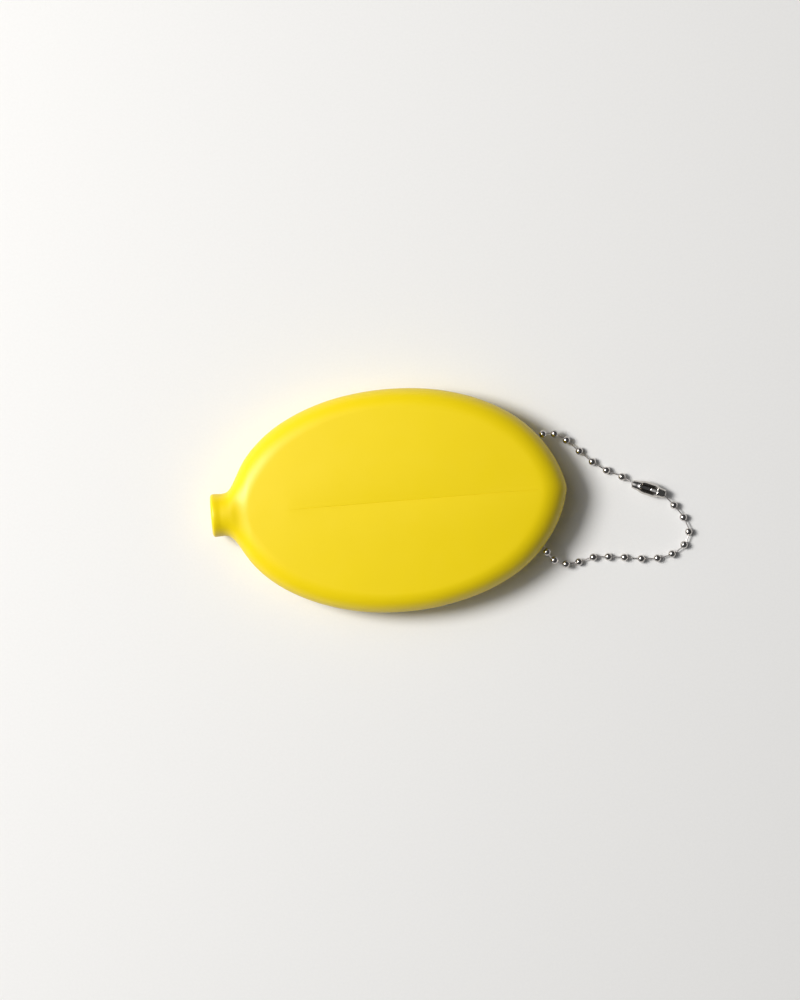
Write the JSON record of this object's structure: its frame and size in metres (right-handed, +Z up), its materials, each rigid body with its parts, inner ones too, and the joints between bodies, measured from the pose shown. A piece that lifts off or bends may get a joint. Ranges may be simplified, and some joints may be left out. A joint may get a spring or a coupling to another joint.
{
  "type": "squeeze coin purse",
  "caption": "Oval flexible vinyl coin purse with a slit mouth that opens when its ends are squeezed, an open neck, and a loop of ball chain with a barrel clasp.",
  "frame": {"origin": "middle of the flat resting patch on the back face, under the middle of the purse's width", "axes": "+X along the purse towards its pointed tip, +Y across it, +Z up out of the face with the slit"},
  "size_m": [0.1246, 0.058, 0.0137],
  "materials": {
    "vinyl": "smooth soft vinyl with a gentle gloss",
    "bead": "polished nickel plate",
    "clasp": "polished nickel plate",
    "wire": "drawn wire, nickel plated"
  },
  "bodies": {
    "purse": {"purse_body": "vinyl", "hidden_beads": "bead", "hidden_links": "wire"},
    "upper_lip": {"upper_lip": "vinyl"},
    "lower_lip": {"lower_lip": "vinyl"},
    "chain_01": {"bead_01": "bead", "link_01": "wire"},
    "chain_02": {"bead_02": "bead", "link_02": "wire"},
    "chain_03": {"bead_03": "bead", "link_03": "wire"},
    "chain_04": {"bead_04": "bead", "link_04": "wire"},
    "chain_05": {"bead_05": "bead", "link_05": "wire"},
    "chain_06": {"bead_06": "bead", "link_06": "wire"},
    "chain_07": {"bead_07": "bead", "link_07": "wire"},
    "clasp": {"clasp": "clasp", "bead_08": "bead", "bead_09": "bead", "link_09": "wire"},
    "chain_10": {"bead_10": "bead", "link_10": "wire"},
    "chain_11": {"bead_11": "bead", "link_11": "wire", "bead_12": "bead"},
    "chain_23": {"bead_23": "bead", "link_22": "wire"},
    "chain_22": {"bead_22": "bead", "link_21": "wire"},
    "chain_21": {"bead_21": "bead", "link_20": "wire"},
    "chain_20": {"bead_20": "bead", "link_19": "wire"},
    "chain_19": {"bead_19": "bead", "link_18": "wire"},
    "chain_18": {"bead_18": "bead", "link_17": "wire"},
    "chain_17": {"bead_17": "bead", "link_16": "wire"},
    "chain_16": {"bead_16": "bead", "link_15": "wire", "bead_15": "bead", "link_14": "wire"},
    "chain_14": {"bead_14": "bead", "link_13": "wire"},
    "chain_13": {"bead_13": "bead", "link_12": "wire"}
  },
  "joints": [
    {"name": "upper_lip_opens", "type": "hinge", "parent": "purse", "child": "upper_lip", "pos_m": [0.0038, 0.0111, 0.01348], "axis": [-1, 0, 0], "range_deg": [0, 50], "stiffness_Nm_per_rad": 0.02},
    {"name": "lower_lip_opens", "type": "hinge", "parent": "purse", "child": "lower_lip", "pos_m": [0.0038, -0.0111, 0.01348], "axis": [1, 0, 0], "range_deg": [0, 50], "stiffness_Nm_per_rad": 0.02},
    {"name": "chain_bend_01", "type": "hinge", "parent": "purse", "child": "chain_01", "pos_m": [0.03764, 0.01398, 0.00512], "axis": [-0.0362, -0.9987, 0.0358], "range_deg": [-12, 25]},
    {"name": "chain_bend_01_return", "type": "hinge", "parent": "purse", "child": "chain_23", "pos_m": [0.03657, -0.01565, 0.00618], "axis": [-0.0362, -0.9987, 0.0358], "range_deg": [-12, 25]},
    {"name": "chain_bend_02", "type": "hinge", "parent": "chain_01", "child": "chain_02", "pos_m": [0.04073, 0.01436, 0.00332], "axis": [0.0777, 0.9964, -0.033], "range_deg": [-15, 25]},
    {"name": "chain_bend_02_return", "type": "hinge", "parent": "chain_23", "child": "chain_22", "pos_m": [0.03819, -0.01824, 0.0044], "axis": [0.0777, 0.9964, -0.033], "range_deg": [-15, 25]},
    {"name": "chain_bend_03", "type": "hinge", "parent": "chain_02", "child": "chain_03", "pos_m": [0.04381, 0.01276, 0.00171], "axis": [-0.088, -0.9959, 0.0202], "range_deg": [-25, 15]},
    {"name": "chain_bend_03_return", "type": "hinge", "parent": "chain_22", "child": "chain_21", "pos_m": [0.04093, -0.01987, 0.00237], "axis": [-0.088, -0.9959, 0.0202], "range_deg": [-25, 15]},
    {"name": "chain_bend_04", "type": "hinge", "parent": "chain_03", "child": "chain_04", "pos_m": [0.047, 0.00974, 0.00105], "axis": [0.0906, 0.9959, -0.0024], "range_deg": [-20, 20]},
    {"name": "chain_bend_04_return", "type": "hinge", "parent": "chain_21", "child": "chain_20", "pos_m": [0.04431, -0.01985, 0.00112], "axis": [0.0906, 0.9959, -0.0024], "range_deg": [-20, 20]},
    {"name": "chain_bend_05", "type": "hinge", "parent": "chain_04", "child": "chain_05", "pos_m": [0.0501, 0.00664, 0.001], "axis": [-0.0766, -0.9971, 0], "range_deg": [-20, 20]},
    {"name": "chain_bend_05_return", "type": "hinge", "parent": "chain_20", "child": "chain_19", "pos_m": [0.04814, -0.01888, 0.001], "axis": [-0.0766, -0.9971, 0], "range_deg": [-20, 20]},
    {"name": "chain_bend_06", "type": "hinge", "parent": "chain_05", "child": "chain_06", "pos_m": [0.05352, 0.00398, 0.00098], "axis": [0.0646, 0.9979, -0.0009], "range_deg": [-25, 25]},
    {"name": "chain_bend_06_return", "type": "hinge", "parent": "chain_19", "child": "chain_18", "pos_m": [0.05204, -0.01892, 0.001], "axis": [0.0646, 0.9979, -0.0009], "range_deg": [-25, 25]},
    {"name": "chain_bend_07", "type": "hinge", "parent": "chain_06", "child": "chain_07", "pos_m": [0.05742, 0.00197, 0.00112], "axis": [-0.055, -0.9985, -0.0055], "range_deg": [-22, 22]},
    {"name": "chain_bend_07_return", "type": "hinge", "parent": "chain_18", "child": "chain_17", "pos_m": [0.05625, -0.01937, 0.001], "axis": [-0.055, -0.9985, -0.0055], "range_deg": [-22, 22]},
    {"name": "chain_bend_08", "type": "hinge", "parent": "chain_07", "child": "clasp", "pos_m": [0.0607, -0.00029, 0.00162], "axis": [0.0054, 0.9995, 0.0315], "range_deg": [-22, 22]},
    {"name": "chain_bend_08_return", "type": "hinge", "parent": "chain_17", "child": "chain_16", "pos_m": [0.06059, -0.0201, 0.001], "axis": [0.0054, 0.9995, 0.0315], "range_deg": [-22, 22]},
    {"name": "chain_bend_09", "type": "hinge", "parent": "clasp", "child": "chain_10", "pos_m": [0.07056, -0.00627, 0.00128], "axis": [-0.131, -0.9912, -0.0205], "range_deg": [-22, 22]},
    {"name": "chain_bend_09_return", "type": "hinge", "parent": "chain_16", "child": "chain_14", "pos_m": [0.06875, -0.01994, 0.001], "axis": [-0.131, -0.9912, -0.0205], "range_deg": [-22, 22]},
    {"name": "chain_bend_10", "type": "hinge", "parent": "chain_10", "child": "chain_11", "pos_m": [0.07292, -0.00952, 0.00102], "axis": [0.0721, 0.9974, 0.0027], "range_deg": [-22, 22]},
    {"name": "chain_bend_10_return", "type": "hinge", "parent": "chain_14", "child": "chain_13", "pos_m": [0.07229, -0.01818, 0.001], "axis": [0.0721, 0.9974, 0.0027], "range_deg": [-22, 22]}
  ],
  "couplings": [
    {"joint": "lower_lip_opens", "follows": "upper_lip_opens", "ratio": 1},
    {"joint": "chain_bend_01_return", "follows": "chain_bend_01", "ratio": 1},
    {"joint": "chain_bend_02_return", "follows": "chain_bend_02", "ratio": 1},
    {"joint": "chain_bend_03_return", "follows": "chain_bend_03", "ratio": 1},
    {"joint": "chain_bend_04_return", "follows": "chain_bend_04", "ratio": 1},
    {"joint": "chain_bend_05_return", "follows": "chain_bend_05", "ratio": 1},
    {"joint": "chain_bend_06_return", "follows": "chain_bend_06", "ratio": 1},
    {"joint": "chain_bend_07_return", "follows": "chain_bend_07", "ratio": 1},
    {"joint": "chain_bend_08_return", "follows": "chain_bend_08", "ratio": 1},
    {"joint": "chain_bend_09_return", "follows": "chain_bend_09", "ratio": 1},
    {"joint": "chain_bend_10_return", "follows": "chain_bend_10", "ratio": 1}
  ]
}
